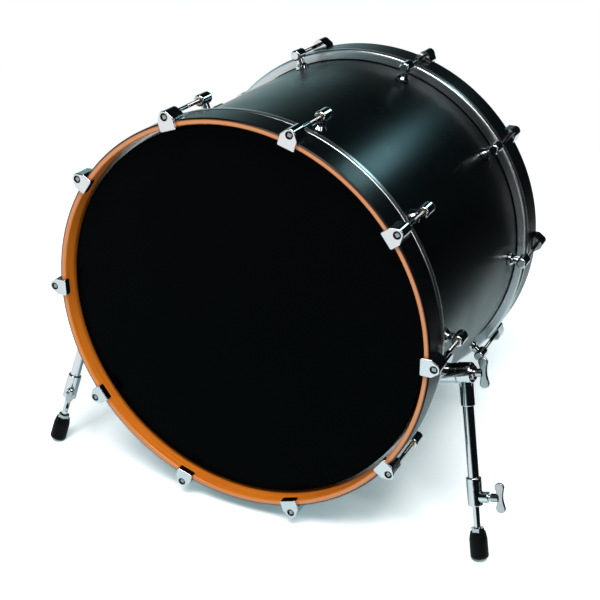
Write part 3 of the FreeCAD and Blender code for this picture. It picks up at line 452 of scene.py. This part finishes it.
def hoop_stain_and_painted_light(tree, radius, depth, bands, pores):
    """Colour of the hoop's wood: figured amber with dark pores, and dark lines between its plies.

    Beside the paint it is darkened as painted shade; a line along the outer edge is a painted highlight.
    """
    amber = blend_colours(tree, follow(tree, bands, 0.0, 1.0), (0.76, 0.175, 0.012), (0.92, 0.27, 0.024))
    pore_share = spread(tree, pores, 0.55, 0.75, 0.0, 0.35)
    amber = blend_colours(tree, pore_share, amber, (0.28, 0.06, 0.004))
    # Painted shade: the edge darkens towards the paint line
    painted_shade_share = spread(tree, radius, *PAINTED_SHADE_BY_PAINT, 0.0, 0.75)
    amber = blend_colours(tree, painted_shade_share, amber, (0.2, 0.04, 0.006))
    # Painted highlight: a pale line along the middle of the front edge
    painted_highlight_line = combine(tree, "MINIMUM", spread(tree, radius, *PAINTED_HIGHLIGHT_INNER, 0.0, 1.0),
                        spread(tree, radius, *PAINTED_HIGHLIGHT_OUTER, 1.0, 0.0))
    painted_highlight_share = combine(tree, "MULTIPLY", painted_highlight_line, spread(tree, depth, *PAINTED_HIGHLIGHT_DEPTH, 0.0, 0.8))
    amber = blend_colours(tree, painted_highlight_share, amber, (0.66, 0.33, 0.16))
    ply_share = spread(tree, combine(tree, "PINGPONG", radius, PLY_THICKNESS), 0.0, PLY_LINE, 0.4, 0.0)
    return blend_colours(tree, ply_share, amber, (0.2, 0.06, 0.008))


def hoop_paint(tree, radius, depth, pores):
    """1 where paint covers the hoop, outside a slightly ragged line and on the back edge, and 0 elsewhere."""
    ragged = combine(tree, "ADD", radius, spread(tree, pores, 0.0, 1.0, -PAINT_WAVER, PAINT_WAVER))
    outside = spread(tree, ragged, PAINT_LINE - PAINT_BLUR, PAINT_LINE + PAINT_BLUR, 0.0, 1.0)
    behind = spread(tree, depth, *BACK_PAINT, 1.0, 0.0)
    return combine(tree, "MAXIMUM", outside, behind)


def amber_wood():
    """Stained and lacquered wood whose grain runs round the hoop, painted black outside and behind."""
    finish, tree, shader = new_finish("amber_wood")
    section = add_node(tree, "Attribute", attribute_name="section").outputs["Vector"]
    parts = add_node(tree, "SeparateXYZ", {"Vector": section}).outputs
    radius, depth = parts["X"], parts["Y"]
    bands = noise(tree, surface_place(tree, (2.2, 55, 1)), 4.0, 4.0, 0.6)
    pores = noise(tree, surface_place(tree, (14, 700, 1)), 3.0, 2.0)
    stain_and_painted_light = hoop_stain_and_painted_light(tree, radius, depth, bands, pores)
    painted = hoop_paint(tree, radius, depth, pores)
    set_shader(tree, shader, Base_Color=blend_colours(tree, painted, stain_and_painted_light, (0.001, 0.0015, 0.002)),
               Roughness=spread(tree, bands, 0.2, 0.8, 0.26, 0.34),
               Specular_IOR_Level=spread(tree, painted, 0.0, 1.0, 0.5, 0.35),
               Coat_Weight=spread(tree, painted, 0.0, 1.0, 0.5, 0.05), Coat_Roughness=0.1,
               Normal=bump(tree, pores, 0.00002))
    return finish


def black_film():
    """Black polyester film: smooth, with a faint cloudiness in its gloss."""
    finish, tree, shader = new_finish("black_film")
    clouds = noise(tree, object_place(tree), 14.0)
    fine = noise(tree, object_place(tree), 900.0, 1.0)
    set_shader(tree, shader,
               Base_Color=blend_colours(tree, clouds, (0.0003, 0.0008, 0.001), (0.0006, 0.0014, 0.0018)),
               Roughness=follow(tree, clouds, 0.14, 0.2), Specular_IOR_Level=0.015,
               Normal=bump(tree, fine, 0.000008))
    return finish


def coated_film():
    """Off-white sprayed coating: a fine grit over the film, a little thinner in patches."""
    finish, tree, shader = new_finish("coated_film")
    grit = noise(tree, object_place(tree), 1500.0, 2.0)
    patches = noise(tree, object_place(tree), 18.0)
    set_shader(tree, shader, Base_Color=blend_colours(tree, patches, (0.72, 0.71, 0.67), (0.8, 0.79, 0.76)),
               Roughness=follow(tree, grit, 0.55, 0.75), Normal=bump(tree, grit, 0.00006))
    return finish


def turned_aluminium():
    """Plain aluminium with fine marks round the ring."""
    finish, tree, shader = new_finish("turned_aluminium")
    marks = noise(tree, surface_place(tree, (6, 2600, 1)), 1.0)
    set_shader(tree, shader, Base_Color=blend_colours(tree, marks, (0.66, 0.67, 0.69), (0.8, 0.81, 0.82)),
               Metallic=1.0, Roughness=follow(tree, marks, 0.24, 0.34), Normal=bump(tree, marks, 0.00001))
    return finish


def chrome(name, low, high, ripple, shade=1.0):
    """Chrome plating: near mirror with faint smears, over a surface that ripples a little.

    The roughness runs from low to high, and a shade below 1 makes the plating darker, as painted shade.
    """
    finish, tree, shader = new_finish(name)
    smears = noise(tree, object_place(tree), 60.0, 4.0, 0.6)
    waves = noise(tree, object_place(tree), 130.0, 1.0)
    dull, clear = shade * np.array([CHROME_DULL, CHROME_CLEAR])
    set_shader(tree, shader, Base_Color=blend_colours(tree, smears, dull, clear), Metallic=1.0,
               Roughness=follow(tree, smears, low, high), Normal=bump(tree, waves, ripple))
    return finish


def mottled(name, scale, dark, pale, smooth, rough, metallic=0.0):
    """Finish whose colour and roughness both go with one mottle."""
    finish, tree, shader = new_finish(name)
    mottle = noise(tree, object_place(tree), scale)
    set_shader(tree, shader, Base_Color=blend_colours(tree, mottle, dark, pale), Metallic=metallic,
               Roughness=follow(tree, mottle, smooth, rough))
    return finish


def zinc_steel():
    """Zinc plated steel: grey with a faint mottle."""
    return mottled("zinc_steel", 300.0, (0.42, 0.43, 0.45), (0.58, 0.58, 0.6), 0.28, 0.42, metallic=1.0)


def plain_brass():
    """Brass, dulled in patches."""
    return mottled("plain_brass", 200.0, (0.48, 0.32, 0.11), (0.66, 0.48, 0.2), 0.24, 0.4, metallic=1.0)


def white_nylon():
    """Cream nylon with a faint grain."""
    return mottled("white_nylon", 700.0, (0.56, 0.54, 0.48), (0.66, 0.64, 0.59), 0.4, 0.5)


def black_rubber():
    """Black rubber: matt, with a fine moulded grain and paler bloom in places."""
    finish, tree, shader = new_finish("black_rubber")
    grain = noise(tree, object_place(tree), 1200.0, 2.0)
    bloom = noise(tree, object_place(tree), 90.0)
    set_shader(tree, shader,
               Base_Color=blend_colours(tree, bloom, (0.001, 0.001, 0.0012), (0.003, 0.003, 0.0033)),
               Roughness=follow(tree, bloom, 0.4, 0.55), Specular_IOR_Level=0.12,
               Normal=bump(tree, grain, 0.00005))
    return finish


# Stage, in metres and watts

FLOOR_RADIUS = 7.0
FLOOR_SIDES = 96
FLOOR_WHITE = (0.75, 1.6)
FLOOR_COLOUR = (0.8, 0.9, 0.91)
FLOOR_SEEN_COLOUR = (1.9, 1.9, 1.9)
FLOOR_GLOW = (0.06, 0.13, 0.145)

FLAG_EDGE = 0.49
FLAG_SIZE = 9.0
FLAG_FRONT = -2.0
FLAG_LIFT = 0.002
FLAG_COLOUR = (0.01, 0.01, 0.01)

WHITE = (1.0, 1.0, 1.0)
FILL_COLOUR = (0.3, 0.3, 0.3)
BACKDROP_PALE = (0.5, 0.78, 0.8)
BACKDROP_DARK = (0.003, 0.004, 0.005)
BACKDROP_FADE = (-0.2, 0.15)
BACKDROP_LEAN = 0.5

KEY_PLACE = (0.34, -1.35, 2.55)
KEY_TARGET = (0, 0, 0.3)
KEY_SIZE = (2.2, 1.1)
KEY_POWER = 54

RIM_PLACE = (1.2, -0.35, 1.5)
RIM_TARGET = (0.17, -0.2, 0.55)
RIM_SIZE = (0.16, 1.6)
RIM_POWER = 4.2

STREAK_PLACE = (0.31, 0.53, 0.86)
STREAK_TARGET = (0.16, -0.14, 0.53)
STREAK_SIZE = (0.16, 0.16)
STREAK_POWER = 0.34
STREAK_COLOUR = (0.5, 0.92, 1)


def seen_ray(tree):
    """1 for rays that show the background: those of the camera, of gloss and of clear pieces."""
    path = add_node(tree, "LightPath").outputs
    shown = combine(tree, "MAXIMUM", path["Is Camera Ray"], path["Is Glossy Ray"])
    return combine(tree, "MAXIMUM", shown, path["Is Transmission Ray"])


def white_floor():
    """Floor finish: lit white that keeps the drum's shadow near it, and plain white further off.

    The camera sees it in a brighter colour than it has for the light it throws back, so only the dark of the
    shadow shows.
    """
    finish, tree, shader = new_finish("white_floor")
    tree.nodes.remove(shader)
    away = add_node(tree, "VectorMath", {0: object_place(tree)}, operation="LENGTH").outputs["Value"]
    direct = add_node(tree, "LightPath").outputs["Is Camera Ray"]
    seen = seen_ray(tree)
    colour = blend_colours(tree, direct, FLOOR_COLOUR, FLOOR_SEEN_COLOUR)
    matt = add_node(tree, "BsdfDiffuse", {"Color": colour})
    glow = add_node(tree, "Emission", {"Color": opaque(FLOOR_GLOW), "Strength": seen})
    near = add_node(tree, "AddShader", {0: matt.outputs[0], 1: glow.outputs[0]})
    far = add_node(tree, "Emission", {"Color": opaque(WHITE), "Strength": 1.0})
    far_share = combine(tree, "MULTIPLY", spread(tree, away, *FLOOR_WHITE, 0.0, 1.0), seen)
    both = add_node(tree, "MixShader", {0: far_share, 1: near.outputs[0], 2: far.outputs[0]})
    feed(tree, tree.nodes["Material Output"].inputs["Surface"], both.outputs[0])
    return finish


def make_floor():
    """Round floor under the drum."""
    bpy.ops.mesh.primitive_circle_add(vertices=FLOOR_SIDES, radius=FLOOR_RADIUS, fill_type="NGON")
    floor = bpy.context.object
    floor.name = "floor"
    floor.data.materials.append(white_floor())


def make_flag():
    """Black card along the right of the floor that only gloss shows, for dark streaks in shell and chrome."""
    bpy.ops.mesh.primitive_plane_add(size=FLAG_SIZE)
    flag = bpy.context.object
    flag.location = (FLAG_EDGE + FLAG_SIZE / 2, FLAG_FRONT + FLAG_SIZE / 2, FLAG_LIFT)
    flag.name = "black_flag"
    for ray in ("camera", "diffuse", "transmission", "volume_scatter", "shadow"):
        setattr(flag, f"visible_{ray}", False)
    finish, tree, shader = new_finish("black_card")
    set_shader(tree, shader, Base_Color=opaque(FLAG_COLOUR), Specular_IOR_Level=0.0)
    flag.data.materials.append(finish)


def make_world():
    """Studio round the drum: white as the camera sees it and an even fill as it lights.

    Gloss shows a pale backdrop that fades out upwards and to the right.
    """
    world = bpy.data.worlds.new("studio")
    bpy.context.scene.world = world
    world.use_nodes = True
    tree = world.node_tree
    way = add_node(tree, "TexCoord").outputs["Generated"]
    slope = add_node(tree, "VectorMath", {0: way, 1: (BACKDROP_LEAN, 0, 1)}, operation="DOT_PRODUCT")
    pale = spread(tree, slope.outputs["Value"], *BACKDROP_FADE, 1.0, 0.0)
    mirrored = blend_colours(tree, pale, BACKDROP_DARK, BACKDROP_PALE)
    direct = add_node(tree, "LightPath").outputs["Is Camera Ray"]
    backdrop = blend_colours(tree, direct, mirrored, WHITE)
    colour = blend_colours(tree, seen_ray(tree), FILL_COLOUR, backdrop)
    feed(tree, tree.nodes["Background"].inputs["Color"], colour)


def add_softbox(name, place, target, size, power, colour=WHITE):
    """Softbox that faces a point, with its size across and its size upright."""
    lamp = bpy.data.lights.new(name, "AREA")
    lamp.shape = "RECTANGLE"
    lamp.size, lamp.size_y = size
    lamp.energy = power
    lamp.color = colour
    softbox = bpy.data.objects.new(name, lamp)
    softbox.visible_camera = False
    softbox.location = place
    softbox.rotation_euler = (Vector(target) - Vector(place)).to_track_quat("-Z", "Y").to_euler()
    bpy.context.scene.collection.objects.link(softbox)


def make_lights():
    """Key light above the front, a strip for the bright line on the rings, and a streak across the shell."""
    add_softbox("key_softbox", KEY_PLACE, KEY_TARGET, KEY_SIZE, KEY_POWER)
    add_softbox("rim_softbox", RIM_PLACE, RIM_TARGET, RIM_SIZE, RIM_POWER)
    add_softbox("streak_softbox", STREAK_PLACE, STREAK_TARGET, STREAK_SIZE, STREAK_POWER, STREAK_COLOUR)


# Camera, placed in the drum's own frame

CAMERA_PLACE = (738.6, -1532.3, 720.0)
CAMERA_TARGET = (105.71, -247.5, 57.72)
FOCAL_PIXELS = 1175.04
FRAME_PIXELS = 600
SENSOR_WIDTH = 36


def make_camera():
    """Camera at the photo's angle, with its upright along the drum's."""
    lens = bpy.data.cameras.new("photo_camera")
    lens.sensor_width = SENSOR_WIDTH
    lens.lens = SENSOR_WIDTH * FOCAL_PIXELS / FRAME_PIXELS
    camera = bpy.data.objects.new("photo_camera", lens)
    place, target = put(DRUM, np.array([CAMERA_PLACE, CAMERA_TARGET]))
    back = place - target
    back /= np.linalg.norm(back)
    right = np.cross(DRUM[:3, 2], back)
    right /= np.linalg.norm(right)
    turn = np.eye(4)
    turn[:3] = np.stack([right, np.cross(back, right), back, place], -1)
    camera.matrix_world = Matrix(turn.tolist())
    bpy.context.scene.collection.objects.link(camera)
    bpy.context.scene.camera = camera


# The drum

def dress(piece, body, node, finish):
    """New piece: its finish, the body it rides on and the node it stands for."""
    piece.data.materials.append(finish)
    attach(piece, body)
    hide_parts(node)


finishes = {
    "shell_lacquer": black_lacquer(),
    "hoop_wood": amber_wood(),
    "front_film": black_film(),
    "rear_film": coated_film(),
    "flesh_aluminium": turned_aluminium(),
    "cast_chrome": chrome("cast_chrome", 0.06, 0.14, 0.00006),
    # Rod plating darkened to 0.45 as painted shade, for the dark recesses round the rod heads
    "rod_chrome": chrome("rod_chrome", 0.08, 0.16, 0.00001, shade=0.45),
    "tube_chrome": chrome("tube_chrome", 0.05, 0.12, 0.00001),
    # Wing plating darkened to 0.7 as a painted dark reflection on the wings
    "wing_chrome": chrome("wing_chrome", 0.08, 0.18, 0.00005, shade=0.7),
    "screw_steel": zinc_steel(),
    "nut_brass": plain_brass(),
    "washer_nylon": white_nylon(),
    "black_rubber": black_rubber(),
}
for subpart in frame["record"]["subparts"]:
    for material_slot in frame["nodes"][subpart["node"]].material_slots:
        material_slot.material = finishes[subpart["material_slot"]]

dress(make_shell(), "drum", "shell", finishes["shell_lacquer"])
for end in ENDS:
    dress(make_film(end), "drum", f"{end}_head_film", finishes[f"{end}_film"])
    dress(make_flesh_hoop(end), "drum", f"{end}_flesh_hoop", finishes["flesh_aluminium"])
    dress(make_hoop(end), "drum", f"{end}_hoop", finishes["hoop_wood"])
    for number in range(1, RODS_PER_HEAD + 1):
        rod = f"{end}_tension_rod_{number:02d}"
        dress(make_rod(rod), rod, rod, finishes["rod_chrome"])

make_floor()
make_flag()
make_world()
make_lights()
make_camera()
bpy.context.scene.view_settings.view_transform = "Standard"
